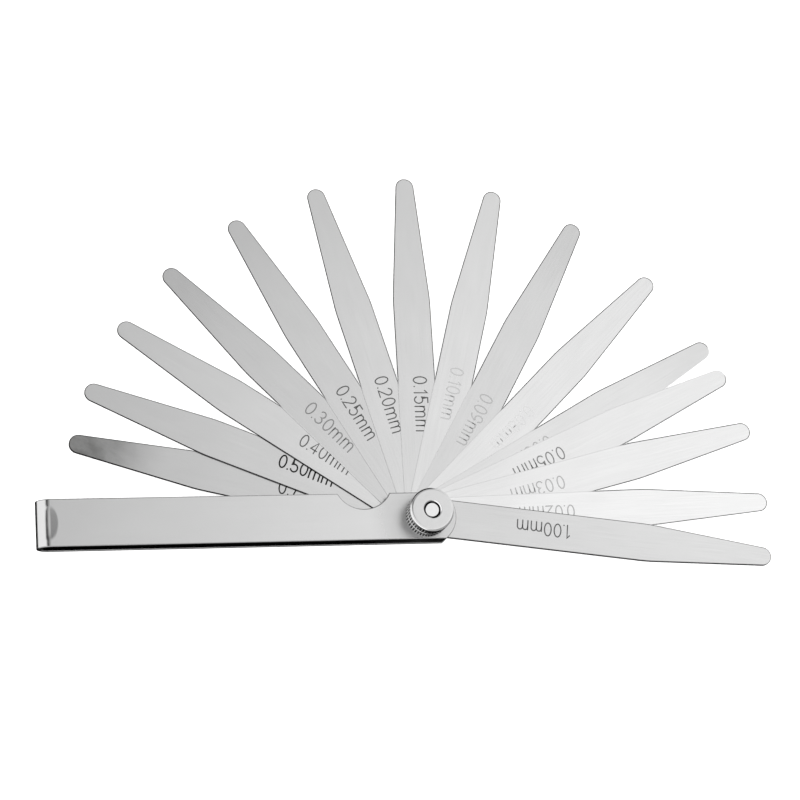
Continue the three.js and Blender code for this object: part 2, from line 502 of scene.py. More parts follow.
@dataclass(frozen=True)
class TurnedNickel:
    """Free-cutting steel turned on a lathe and nickel-plated.

    Attributes:
        name: Name of the material.
        colour: Colour of the plating.
        feed: Spacing of the turning marks, in millimetres.
    """

    name: str
    colour: str = "#CCCCCC"
    feed: float = 0.18

    def make(self) -> Material:
        """Makes the material: bright metal with fine rings round the axis that draw its highlights out."""
        material, tree, shader = new_material(self.name)
        place = add_node(tree, PLACE, {})["Object"]
        flat = add_node(tree, "ShaderNodeVectorMath", {0: place, 1: (1.0, 1.0, 0.0)}, operation="MULTIPLY")
        radius = add_node(tree, "ShaderNodeVectorMath", {0: flat[0]}, operation="LENGTH")["Value"]
        turns = add_node(tree, MATH, {0: radius, 1: 1 / (self.feed * MM)}, operation="MULTIPLY")
        noise = {"W": turns[0], "Scale": 1.0, "Detail": 2.0}
        rings = add_node(tree, "ShaderNodeTexNoise", noise, noise_dimensions="1D")[0]
        marks = stretched_noise(tree, (1.4, 1.4, 1.4))
        tone = {0: marks, 6: linear(self.colour, 0.95), 7: linear(self.colour, 1.04)}
        colour = add_node(tree, MIX, tone, data_type="RGBA")[2]
        height = add_node(tree, "ShaderNodeBump", {"Strength": 0.3, "Distance": 0.001 * MM, "Height": rings})
        rough = add_node(tree, RANGE, (rings, 0.2, 0.8, 0.13, 0.2), **SMOOTH)[0]
        set_inputs(shader, {"Base Color": colour, "Roughness": rough, "Normal": height[0], "Metallic": 1.0})
        return material


class EtchDepth(Enum):
    """How dark the etched figures came out, as the grey of their oxide."""

    DEEP = "#141414"
    PLAIN = "#525252"
    SOFT = "#727272"
    LIGHT = "#9C9C9C"
    FAINT = "#A8A8A8"
    GHOST = "#BEBEBE"


@dataclass(frozen=True)
class EtchedOxide:
    """Dark oxide left by electrochemical etching, matt against the polished steel.

    Attributes:
        depth: How dark it came out.
    """

    depth: EtchDepth

    def make(self) -> Material:
        """Makes the material: a speckled grey that reflects almost nothing."""
        material, tree, shader = new_material(f"electro_etched_oxide_{self.depth.name.lower()}")
        speckle = stretched_noise(tree, (0.25, 0.25, 0.25))
        tone = {0: speckle, 6: linear(self.depth.value, 0.8), 7: linear(self.depth.value, 1.2)}
        colour = add_node(tree, MIX, tone, data_type="RGBA")[2]
        rough = add_node(tree, RANGE, (speckle, 0.3, 0.7, 0.55, 0.75), **SMOOTH)[0]
        set_inputs(shader, {"Base Color": colour, "Roughness": rough, "Metallic": 0.4})
        return material


# ---------------------------------------------------------------------------------------------------
# Etched sizes


@dataclass(frozen=True)
class Figure:
    """One single-line figure, drawn on a cap height of 1.

    Attributes:
        cell: Width that the figure takes in the line.
        strokes: Open strokes.
        rings: Closed strokes.
    """

    cell: float
    strokes: Tuple[Loop, ...] = ()
    rings: Tuple[Loop, ...] = ()

    def half_turned(self) -> "Figure":
        """The same figure upside down, which makes a 9 from a 6."""
        return Figure(self.cell, tuple([(0.52 - x, 1 - y) for x, y in line] for line in self.strokes))


def engraver_figures() -> Dict[str, Figure]:
    """Draws the figures 0 to 9, the point and the letter m, as single lines.

    Returns:
        A figure for each character.
    """
    oval = arc((0.26, 0.5), (0.26, 0.5), 0, 360, 28)[:-1]
    hook = arc((0.26, 0.73), (0.25, 0.27), 165, -35, 12)
    three = arc((0.25, 0.76), (0.22, 0.24), 150, -90, 12) + arc((0.25, 0.26), (0.26, 0.26), 90, -150, 14)[1:]
    belly = [(0.46, 1.0), (0.08, 1.0), (0.04, 0.55)] + arc((0.25, 0.31), (0.27, 0.31), 122, -150, 14)
    six = arc((0.55, 0.36), (0.54, 0.62), 100, 176, 7) + arc((0.26, 0.3), (0.25, 0.3), 180, -176, 20)
    arches = [[(x, 0.4)] + arc((x + 0.2, 0.5), (0.2, 0.22), 170, 0, 8) + [(x + 0.4, 0.0)] for x in (0.0, 0.4)]
    upper_bowl = arc((0.26, 0.765), (0.21, 0.235), 0, 360, 20)[:-1]
    lower_bowl = arc((0.26, 0.265), (0.26, 0.265), 0, 360, 22)[:-1]
    figures = {
        "0": Figure(0.76, rings=(oval,)),
        "1": Figure(0.55, ([(0.08, 0.8), (0.26, 1.0), (0.26, 0.0)],)),
        "2": Figure(0.76, (hook + [(0.0, 0.0), (0.52, 0.0)],)),
        "3": Figure(0.76, (three,)),
        "4": Figure(0.76, ([(0.38, 0.0), (0.38, 1.0), (0.0, 0.28), (0.52, 0.28)],)),
        "5": Figure(0.76, (belly,)),
        "6": Figure(0.76, (six,)),
        "7": Figure(0.76, ([(0.0, 1.0), (0.52, 1.0), (0.18, 0.0)],)),
        "8": Figure(0.76, rings=(upper_bowl, lower_bowl)),
        ".": Figure(0.21, ([(-0.015, 0.02), (-0.015, 0.05)],)),
        "m": Figure(1.07, ([(0.0, 0.0), (0.0, 0.72)], *arches)),
    }
    figures["9"] = figures["6"].half_turned()
    return figures


@dataclass(frozen=True)
class EtchedSize:
    """The size etched near a blade's root, read with the tip to the left.

    Attributes:
        depth: How dark it came out.
        start: Distance from the pivot axis to the middle of the first figure.
        side: Distance of the line's middle from the blade's middle line.
        height: Cap height between the middles of the strokes.
        stroke: Width of the etched line.
        film: Height that the oxide stands above the face.
        first_half: Half the width of the first figure, as a share of the cap height.
    """

    depth: EtchDepth = EtchDepth.PLAIN
    start: float = 38.5
    side: float = -0.9
    height: float = 3.4
    stroke: float = 0.34
    film: float = 0.006
    first_half: float = 0.26

    def shape(self, text: str, face: float) -> Mesh:
        """Builds the line of figures on a blade that points along +X.

        Args:
            text: What the line says.
            face: Height of the blade's upper face.

        Returns:
            The mesh, in millimetres.
        """
        mesh = bmesh.new()
        figures = engraver_figures()
        base = self.side + self.height / 2
        left = self.start + self.first_half * self.height
        for letter in text:
            figure = figures[letter]
            for group, closed in ((figure.strokes, False), (figure.rings, True)):
                for line in group:
                    path = [(left - x * self.height, base - y * self.height) for x, y in line]
                    ribbon(mesh, path, closed, self.stroke, (face - self.film / 2, face + self.film))
            left -= figure.cell * self.height
        return mesh


# ---------------------------------------------------------------------------------------------------
# Sub-assemblies


@dataclass(frozen=True)
class BladeLook:
    """What sets one blade apart from its neighbours.

    Attributes:
        tone: Brightness of its steel, a painted reflection for how much light the blade's slight tilt
            catches.
        tip_darkening: How much its tip is darkened in patches, from 0 to 1.
        size: How its engraved size came out.
        edge: Colour of its edge's painted shade, where that shade isn't left off.
    """

    tone: float = 1.0
    tip_darkening: float = 0.0
    size: EtchedSize = EtchedSize()
    edge: str = "#2C2C2C"


# The first number of each look, the tone, is painted reflection: the blade's steel is made brighter or darker
# for the light its slight tilt would catch.
BLADE_LOOKS: Dict[str, BladeLook] = {
    "blade_0_75": BladeLook(0.93, 0.8, EtchedSize(EtchDepth.DEEP, 38.2, -0.35, 3.4, 0.36)),
    "blade_0_50": BladeLook(0.96, 0.0, EtchedSize(EtchDepth.DEEP, 40.0, -0.95, 3.4, 0.42)),
    "blade_0_40": BladeLook(1.02, 0.0, EtchedSize(EtchDepth.PLAIN, 37.5, -0.45)),
    "blade_0_30": BladeLook(0.93, 0.12, EtchedSize(EtchDepth.SOFT, 41.6, -0.3, 3.65)),
    "blade_0_25": BladeLook(0.95, 0.06, EtchedSize(EtchDepth.PLAIN, 40.2, -0.2, 3.6)),
    "blade_0_20": BladeLook(0.99, 0.04, EtchedSize(EtchDepth.PLAIN, 38.8, -0.85, 3.55)),
    "blade_0_15": BladeLook(0.98, 0.0, EtchedSize(EtchDepth.PLAIN, 37.7, -0.95, 3.6)),
    "blade_0_10": BladeLook(1.04, 0.0, EtchedSize(EtchDepth.FAINT, 41.6, -0.35, 3.5)),
    "blade_0_09": BladeLook(0.95, 0.1, EtchedSize(EtchDepth.LIGHT, 37.5, -0.05, 3.55)),
    "blade_0_08": BladeLook(1.07, 0.0, EtchedSize(EtchDepth.GHOST, 41.8, -0.5)),
    "blade_0_07": BladeLook(1.0, 0.0, EtchedSize(EtchDepth.LIGHT, 39.0, 0.0)),
    "blade_0_06": BladeLook(1.01, 0.1, EtchedSize(EtchDepth.LIGHT, 40.3, 0.3)),
    "blade_0_05": BladeLook(1.07, 0.0, EtchedSize(EtchDepth.SOFT, 41.8, 0.05)),
    "blade_0_04": BladeLook(1.0, 0.0, EtchedSize(EtchDepth.LIGHT, 40.0, 0.0)),
    "blade_0_03": BladeLook(1.09, 0.0, EtchedSize(EtchDepth.LIGHT, 38.6, -0.45)),
    "blade_0_02": BladeLook(1.13, 0.0, EtchedSize(EtchDepth.LIGHT, 39.7, -0.2)),
    "blade_1_00": BladeLook(0.9, 0.0, EtchedSize(EtchDepth.PLAIN, 38.2, 0.3, 3.5), "#6E6E6E"),
}


@dataclass(frozen=True)
class ThicknessBlade:
    """One loose blade: parallel sides, a straight taper and a round tip.

    Attributes:
        node: CAD node and body of the blade.
        look: Its tone, tip darkening and etched size.
        width: Width of the parallel part.
        reach: Distance from the pivot axis to the tip.
        tip_radius: Radius of the round tip.
        taper_start: Distance from the pivot axis to the start of the taper.
        shoulder_radius: Radius that blends the sides into the taper.
        hole_radius: Radius of the pivot hole.
        deburr: How far in from the edge the stoned rounding reaches on a thick blade.
        rim: Width of the rim that takes the edge's painted shade, rounding included.
        thin_below: Blades thinner than this leave their edge's painted shade off near the pivot.
    """

    node: str
    look: BladeLook
    width: float = 10.2
    reach: float = 94.9
    tip_radius: float = 2.5
    taper_start: float = 60.4
    shoulder_radius: float = 45.0
    hole_radius: float = 2.3
    deburr: float = 0.12
    rim: float = 0.21
    thin_below: float = 0.35

    def rings(self, inset: float) -> List[Loop]:
        """The outline and the pivot hole of a blade that points along +X.

        Args:
            inset: Distance in from the edge.

        Returns:
            The outline, then the hole.
        """
        half = self.width / 2
        tip_x = self.reach - self.tip_radius
        run = tip_x - self.taper_start
        slope = math.atan2(half, run) - math.asin(self.tip_radius / math.hypot(run, half))
        shoulder_x = self.taper_start - self.shoulder_radius * math.tan(slope / 2)
        shoulder_y = self.shoulder_radius - half
        tilt = math.degrees(slope)
        root, tip, shoulder = half - inset, self.tip_radius - inset, self.shoulder_radius - inset
        outline = arc((0, 0), (root, root), 90, 270, 36)
        outline += arc((shoulder_x, shoulder_y), (shoulder, shoulder), 270, 270 + tilt, 5)
        outline += arc((tip_x, 0), (tip, tip), tilt - 90, 90 - tilt, 28)
        outline += arc((shoulder_x, -shoulder_y), (shoulder, shoulder), 90 - tilt, 90, 5)
        return [outline, circle(self.hole_radius + inset, 48)]

    def edge(self, thickness: float) -> Material:
        """The finish of the edge: a dark line of painted shade, which a thin blade's edge leaves off as far
        out as its neighbours lie on it.

        Args:
            thickness: Thickness of the blade.

        Returns:
            The material.
        """
        name = f"edge_painted_shade_{self.node}"
        if thickness > self.thin_below:
            return DeburredSteelEdge(name, self.look.edge).make()
        angle = fan_angle(self.node)
        others = [fan_angle(node) - angle for node in BLADE_LOOKS]
        gaps = [min([-turn for turn in others if turn < -1], default=90.0)]
        gaps += [min([turn for turn in others if turn > 1], default=90.0)]
        right, left = (self.width / 2 / math.tan(math.radians(gap / 2)) for gap in gaps)
        return DeburredSteelEdge(name, self.look.edge, right, left).make()

    def build(self, etches: Dict[EtchDepth, Material]) -> None:
        """Builds the blade and its etched size.

        Args:
            etches: The oxide materials.
        """
        low, high = (corner.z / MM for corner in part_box(self.node))
        thickness = high - low
        across = min(self.deburr, 0.25 * thickness)
        levels = rounded_edge(thickness, across, 0.3 * min(thickness, 0.4), self.rim - across, 2)
        mesh = bmesh.new()
        stack_rings(mesh, self.rings, [(inset, low + height) for inset, height in levels])
        steel = GroundSpringSteel(f"ground_spring_steel_{self.node}", self.look.tone, self.look.tip_darkening).make()
        angle = fan_angle(self.node)
        finishes = [steel, self.edge(thickness)]
        crisp = 40.0 if thickness > self.thin_below else 12.0
        piece = (f"{self.node}_steel", mesh, finishes, self.node, "blade_steel", self.node, angle, crisp)
        finished_piece(*piece)
        text = f"{self.node[-4:].replace('_', '.')}mm"
        mark = self.look.size.shape(text, high)
        oxide = etches[self.look.size.depth]
        finished_piece(f"{self.node}_etched_size", mark, [oxide], self.node, "blade_steel", None, angle)


def fan_angle(node: str) -> float:
    """Direction that a blade points in: its joint's upper limit folds it to -X.

    Args:
        node: CAD node and body of the blade.

    Returns:
        The angle from +X, in degrees.
    """
    joint = next(joint for joint in frame["joints"] if joint["child"] == node)
    return 180.0 - joint["range_deg"][1]


@dataclass(frozen=True)
class HairpinCase:
    """The case: one strip of sheet steel folded over, with a thumb notch and a rounded pivot end.

    Attributes:
        plate: Thickness of the sheet.
        width: Width of the strip.
        reach: Distance from the pivot axis to the outside of the bend.
        end_radius: Radius of both plates' pivot ends.
        notch_radius: Radius of the thumb notch.
        notch_x: Where the notch is along the case.
        notch_depth: How deep it cuts into the edge.
        round_hole: Radius of the front plate's hole.
        square_hole: Side of the back plate's hole.
        edge_radius: Rounding of the sheared edges.
        bend_stretch: How much longer the bend is along X than half its depth.
        dish_slope: How steeply the middle of each plate is drawn in towards the bend.
        dish_run: How far that dished half-moon reaches into each plate.
        dish_half_width: Half the width of the half-moon.
        low: Lowest point of the case, from the frame.
        high: Highest point of the case, from the frame.
    """

    plate: float = 0.8
    width: float = 12.5
    reach: float = 101.6
    end_radius: float = 7.9
    notch_radius: float = 7.75
    notch_x: float = -16.5
    notch_depth: float = 4.2
    round_hole: float = 2.3
    square_hole: float = 4.4
    edge_radius: float = 0.16
    bend_stretch: float = 1.14
    dish_slope: float = 0.078
    dish_run: float = 1.95
    dish_half_width: float = 4.1
    low: float = field(default_factory=lambda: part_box("case")[0].z / MM)
    high: float = field(default_factory=lambda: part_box("case")[1].z / MM)

    def middle_radius(self) -> float:
        """Radius of the bend at the middle of the sheet."""
        return (self.high - self.low - self.plate) / 2

    def bend_x(self) -> float:
        """Where the flat plates meet the bend."""
        return self.bend_stretch * (self.middle_radius() + self.plate / 2) - self.reach

    def rings(self, inset: float) -> List[Loop]:
        """The strip before it was folded: X runs along it from the middle of the bend.

        Args:
            inset: Distance in from the edge.

        Returns:
            The outline, the front plate's round hole and the back plate's square hole.
        """
        half = self.width / 2 - inset
        end = self.end_radius - inset
        notch = self.notch_radius + inset
        notch_y = self.width / 2 - self.notch_depth + self.notch_radius
        corner = math.degrees(math.asin(half / end))
        notch_corner = math.degrees(math.asin((half - notch_y) / notch))
        pivot = math.pi / 2 * self.middle_radius() - self.bend_x()
        notch_s = pivot + self.notch_x
        outline = arc((pivot, 0), (end, end), -corner, corner, 20)
        outline += arc((notch_s, notch_y), (notch, notch), notch_corner, -180 - notch_corner, 24)
        outline += arc((-notch_s, notch_y), (notch, notch), notch_corner, -180 - notch_corner, 24)
        outline += arc((-pivot, 0), (end, end), 180 - corner, 180 + corner, 20)
        side = self.square_hole / 2 + inset
        square = [(-pivot + x * side, y * side) for x, y in ((-1, -1), (1, -1), (1, 1), (-1, 1))]
        return [outline, circle(self.round_hole + inset, 48, (pivot, 0)), square]

    def fold(self, along: float, across: float, above: float) -> Vector:
        """Carries a point of the flat strip to its place in the folded case.

        Args:
            along: Distance from the middle of the bend.
            across: Distance from the strip's middle line.
            above: Height above the middle of the sheet, on the outer side.

        Returns:
            The point in the case.
        """
        radius = self.middle_radius()
        quarter = math.pi / 2 * radius
        beyond = max(0.0, abs(along) - quarter)
        run = self.dish_run * math.sqrt(max(0.0, 1.0 - (across / self.dish_half_width) ** 2))
        drawn_in = self.dish_slope * max(0.0, run - beyond) * min(1.0, abs(along) / quarter) ** 3
        reach = radius + above - drawn_in
        turn = max(-quarter, min(quarter, along)) / radius
        x = self.bend_x() + beyond - self.bend_stretch * reach * math.cos(turn)
        return Vector((x, across, (self.low + self.high) / 2 + reach * math.sin(turn)))

    def build(self, sheet: Material, edge: Material, inside: Material) -> None:
        """Builds the folded case.

        Args:
            sheet: Material of the outer faces.
            edge: Material of the sheared edges.
            inside: Material of the inner faces, dark as painted shade inside the case's gap.
        """
        mesh = bmesh.new()
        levels = rounded_edge(self.plate, self.edge_radius, self.edge_radius, 0.1, 3)
        stack_rings(mesh, self.rings, [(inset, height - self.plate / 2) for inset, height in levels])
        quarter = math.pi / 2 * self.middle_radius()
        bend_cuts = [quarter * (step / 16 - 1) for step in range(33)]
        run_cuts = [quarter + self.dish_run * step / 10 for step in range(1, 12)]
        reach = quarter + 1.15 * self.dish_run
        self.clear_bend(mesh, reach)
        for cut in [*bend_cuts, *run_cuts, *[-cut for cut in run_cuts]]:
            self.cut(mesh, Vector((cut, 0, 0)), Vector((1, 0, 0)), reach)
        for step in range(-14, 15):
            self.cut(mesh, Vector((0, step * self.width / 32, 0)), Vector((0, 1, 0)), reach)
        # The inner faces take the dark material, painted shade inside the case's gap.
        for face in mesh.faces:
            if face.material_index == 0 and face.calc_center_median().z < 0:
                face.material_index = 2
        for vertex in mesh.verts:
            vertex.co = self.fold(*vertex.co)
        finished_piece("case_sheet", mesh, [sheet, edge, inside], "case", "case_steel", "case")

    def clear_bend(self, mesh: Mesh, reach: float) -> None:
        """Joins each face of the strip around the bend into one rectangle, so that cuts make a clean grid.

        Args:
            mesh: The strip.
            reach: Distance from the middle of the bend to each end of the rectangle.
        """
        for end in (-reach, reach):
            self.cut(mesh, Vector((end, 0, 0)), Vector((1, 0, 0)), reach)
        for above in (False, True):
            flat = [face for face in mesh.faces if face.material_index == 0]
            near = [face for face in flat if abs(face.calc_center_median().x) < reach]
            side = [face for face in near if (face.calc_center_median().z > 0) == above]
            bmesh.ops.dissolve_faces(mesh, faces=side, use_verts=False)

    @staticmethod
    def cut(mesh: Mesh, point: Vector, normal: Vector, limit: float) -> None:
        """Cuts the flat strip's faces across the bend along a plane, which adds the points for folding it.

        Args:
            mesh: The strip.
            point: A point of the cutting plane.
            normal: The plane's normal.
            limit: Only faces that reach within this distance of the bend's middle are cut.
        """
        spans = [(face, [vertex.co.x for vertex in face.verts]) for face in mesh.faces]
        chosen = [face for face, xs in spans if min(map(abs, xs)) <= limit + 1e-4 or min(xs) * max(xs) < 0]
        edges = list(dict.fromkeys(edge for face in chosen for edge in face.edges))
        verts = list(dict.fromkeys(vertex for face in chosen for vertex in face.verts))
        bmesh.ops.bisect_plane(mesh, geom=verts + edges + chosen, plane_co=point, plane_no=normal, dist=1e-5)


def screw_thread(angle: float, height: float, pitch: float) -> float:
    """Depth of a V thread at a place on its screw.

    Args:
        angle: Angle round the axis, in radians.
        height: Height along the axis.
        pitch: Pitch of the thread.

    Returns:
        The depth, from 0 at the crest to 1 at the root.
    """
    turn = height / pitch - angle / (2 * math.pi)
    return 1.0 - abs(2.0 * (turn - math.floor(turn)) - 1.0)


@dataclass(frozen=True)
class PivotScrew:
    """The pivot screw: low round head, square neck, and a shank that is threaded at the nut.

    Attributes:
        radius: Radius of the shank over its thread.
        head_radius: Radius of the head.
        head_chamfer: Chamfer of the head's rear edge.
        head_height: Height of the head.
        neck_side: Side of the square neck.
        neck_height: Height of the neck above the head.
        end_chamfer: Chamfer of the threaded end.
        pitch: Pitch of the thread.
        thread_depth: Depth of the thread.
        thread_start: Where the thread starts, below the end.
    """

    radius: float = 2.0
    head_radius: float = 4.5
    head_chamfer: float = 0.25
    head_height: float = 1.0
    neck_side: float = 4.0
    neck_height: float = 0.6
    end_chamfer: float = 0.2
    pitch: float = 0.7
    thread_depth: float = 0.35
    thread_start: float = 6.0

    def ring(self, radius: float, height: float, threaded: bool = False) -> List[Vector]:
        """One ring of the screw.

        Args:
            radius: Radius of the ring.
            height: Height of the ring.
            threaded: True cuts the thread into it.

        Returns:
            Its points.
        """
        points = []
        for step in range(ROUND):
            angle = 2 * math.pi * step / ROUND
            depth = self.thread_depth * screw_thread(angle, height, self.pitch) if threaded else 0.0
            reach = min(radius, self.radius - depth)
            points.append(Vector((reach * math.cos(angle), reach * math.sin(angle), height)))
        return points

    def build(self, steel: Material, thread: Material) -> None:
        """Builds the screw.

        Args:
            steel: Material of the screw.
            thread: Material of its thread, dark as painted shade.
        """
        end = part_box("pivot_screw")[1].z / MM
        rim, chamfer = self.head_radius, self.head_chamfer
        head = [(rim - chamfer - 0.2, 0.0), (rim - chamfer, 0.0), (rim - 0.3 * chamfer, 0.3 * chamfer)]
        head += [(rim, chamfer), (rim, self.head_height - 0.08), (rim - 0.08, self.head_height)]
        head += [(self.radius, self.head_height), (self.radius, end - self.thread_start - 0.2)]
        mesh = bmesh.new()
        rings = [[Vector((x, y, height)) for x, y in circle(radius, ROUND)] for radius, height in head]
        turns = int(self.thread_start / (self.pitch / 10))
        for step in range(turns + 1):
            height = end - self.thread_start * (1 - step / turns)
            limit = self.radius - max(0.0, self.end_chamfer - (end - height))
            rings.append(self.ring(limit, height, threaded=True))
        rings.append(self.ring(self.radius - self.end_chamfer - 0.05, end))
        wrap_rings(mesh, rings, closed=False)
        # The threaded part takes the dark material, painted shade.
        for face in mesh.faces:
            height = face.calc_center_median().z
            face.material_index = int(end - self.thread_start < height < end - self.end_chamfer)
        half = self.neck_side / 2
        square = [Vector((x * half, y * half, 0)) for x, y in ((-1, -1), (1, -1), (1, 1), (-1, 1))]
        levels = (self.head_height - 0.1, self.head_height + self.neck_height)
        wrap_rings(mesh, [[corner + Vector((0, 0, z)) for corner in square] for z in levels], closed=False)
        finished_piece("pivot_screw_turned", mesh, [steel, thread], "case", "fastener_steel", "pivot_screw")


@dataclass(frozen=True)
class ThumbNut:
    """The thumb nut: two bands of straight knurl with a groove between them and a bevelled top.

    Attributes:
        radius: Radius over the teeth.
        teeth: Number of teeth round the nut.
        tooth_depth: Depth of the knurl.
        round_over: Radius of the rounded top edge.
        rim_height: Height of the plain rim below the rounded edge.
        plain_bevel: Height of the plain bevel above each knurled band.
        groove_low: Height of the groove's lower side above the foot.
        groove_width: Width of the groove.
        groove_depth: Depth of the groove.
        bore: Radius of the threaded bore over the thread's roots.
        pitch: Pitch of the thread.
        thread_depth: Depth of the thread.
        samples: Points drawn on each tooth.
        lead_in: Size of the countersink at the top of the bore.
    """

    radius: float = 5.85
    teeth: int = 46
    tooth_depth: float = 0.3
    round_over: float = 0.7
    rim_height: float = 0.2
    plain_bevel: float = 0.2
    groove_low: float = 2.7
    groove_width: float = 0.3
    groove_depth: float = 0.4
    bore: float = 2.2
    pitch: float = 0.7
    thread_depth: float = 0.14
    samples: int = 10
    lead_in: float = 0.22

    def tooth(self, angle: float) -> float:
        """Depth of the knurl at an angle.

        Args:
            angle: Angle round the nut's axis, in radians.

        Returns:
            The depth, from 0 on a tooth's flat crest to 1 at the root.
        """
        turn = angle / (2 * math.pi) * self.teeth
        return min(1.0, max(0.0, 1.25 - 3.0 * abs(turn - math.floor(turn) - 0.5)))

    def ring(self, radius: float, height: float, knurl: float = 0.0, thread: float = 0.0) -> List[Vector]:
        """One ring of the nut.

        Args:
            radius: Radius of the ring.
            height: Height of the ring.
            knurl: Share of the knurl's depth that is cut here.
            thread: Share of the thread's depth that stands proud here.

        Returns:
            Its points.
        """
        count = self.teeth * self.samples
        points = []
        for step in range(count):
            angle = 2 * math.pi * step / count
            reach = radius - knurl * self.tooth_depth * self.tooth(angle)
            if thread:
                reach -= thread * self.thread_depth * screw_thread(angle, height, self.pitch)
            points.append(Vector((reach * math.cos(angle), reach * math.sin(angle), height)))
        return points

    def band(self, low: float, high: float) -> List[List[Vector]]:
        """The rings of one knurled band, whose teeth lean in towards a plain bevel at their upper end.

        Args:
            low: Height of the band's lower end.
            high: Height of its upper end.

        Returns:
            The rings, from the lowest to the highest.
        """
        ease, lean = 0.12, 0.5
        plain = high - self.plain_bevel
        rows = [(low, -ease, 0.0), (low + ease, 0.0, 1.0), (plain - lean, 0.0, 1.0)]
        rows += [(plain - 0.04, -0.12, 0.9), (plain, -0.14, 0.0), (high, -self.groove_depth, 0.0)]
        return [self.ring(self.radius + step, height, knurl) for height, step, knurl in rows]

    def finish_of(self, face: bmesh.types.BMFace, foot: float, top: float) -> int:
        """Picks the material of one face: 0 plain, 1 dark as painted shade in the knurl's valleys, the thread
        and a band under the rim, 2 bright as painted highlight on the outer bevels and half the countersink.

        Args:
            face: The face.
            foot: Height of the nut's foot.
            top: Height of its top.

        Returns:
            The material's index.
        """
        centre = face.calc_center_median()
        reach, rim = centre.xy.length, top - self.round_over - self.rim_height
        tops = (foot + self.groove_low, rim - 0.06)
        bottoms = (foot + 0.12, foot + self.groove_low + self.groove_width)
        knurled = any(low < centre.z < high - self.plain_bevel for low, high in zip(bottoms, tops))
        # Painted shade: the knurl's valleys, the bore's thread and a band under the rim take the dark
        # material.
        valley = knurled and self.tooth(math.atan2(centre.y, centre.x)) > 0.3
        if valley or reach < self.bore + 0.02 or (tops[1] - 0.02 < centre.z < rim and reach > self.bore + 1):
            return 1
        # Painted highlight: the outer bevels and the countersink's +X half take the bright material.
        outer = reach > self.radius - self.round_over and not knurled
        # Only the +X half of the countersink takes the painted highlight.
        within = self.lead_in + 0.02
        lead_in = reach < self.bore + within and centre.z > top - within and centre.x > 0
        return 2 if lead_in or (outer and abs(face.normal.z) < 0.72 and centre.z > bottoms[1] - 0.3) else 0

    def build(self, finishes: Sequence[Material]) -> None:
        """Builds the nut.

        Args:
            finishes: Materials of the plain faces, of the painted shade in the knurl's valleys, the thread
                and under the rim, and of the painted highlight on the bevels.
        """
        foot, top = (corner.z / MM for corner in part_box("thumb_nut"))
        groove, waist = foot + self.groove_low, self.radius - self.groove_depth
        crown = top - self.round_over
        mouth = self.bore + self.lead_in
        rim = crown - self.rim_height
        rings = [self.ring(mouth, foot), self.ring(self.radius - 0.5, foot)]
        rings += self.band(foot + 0.12, groove)
        rings += [self.ring(waist, groove + 0.1), self.ring(waist, groove + self.groove_width - 0.1)]
        rings += self.band(groove + self.groove_width, rim - 0.06)
        rings += [self.ring(waist, rim - 0.02), self.ring(self.radius - 0.06, rim)]
        rings += [self.ring(self.radius, rim + 0.06), self.ring(self.radius, crown)]
        flat = self.radius - self.round_over
        for turn in (15, 30, 45, 60, 75, 90):
            lean = math.radians(turn)
            reach = flat + self.round_over * math.cos(lean)
            rings.append(self.ring(reach, crown + self.round_over * math.sin(lean)))
        rings += [self.ring(flat - 0.1, top), self.ring(flat - 0.2, top), self.ring(mouth + 0.15, top)]
        rings += [self.ring(mouth + 0.06, top), self.ring(mouth, top - 0.02)]
        rings.append(self.ring(self.bore, top - self.lead_in - 0.02))
        turns = 30
        for step in range(turns + 1):
            height = top - 0.32 - 2.4 * step / turns
            rings.append(self.ring(self.bore, height, thread=min(1.0, step / 6)))
        rings.append(self.ring(self.bore, foot + 0.15))
        mesh = bmesh.new()
        wrap_rings(mesh, rings, closed=True)
        mesh.normal_update()
        for face in mesh.faces:
            face.material_index = self.finish_of(face, foot, top)
        piece = ("thumb_nut_knurled", mesh, finishes, "thumb_nut", "fastener_steel", "thumb_nut")
        finished_piece(*piece, sharp_above=28.0)


# ---------------------------------------------------------------------------------------------------
# Studio


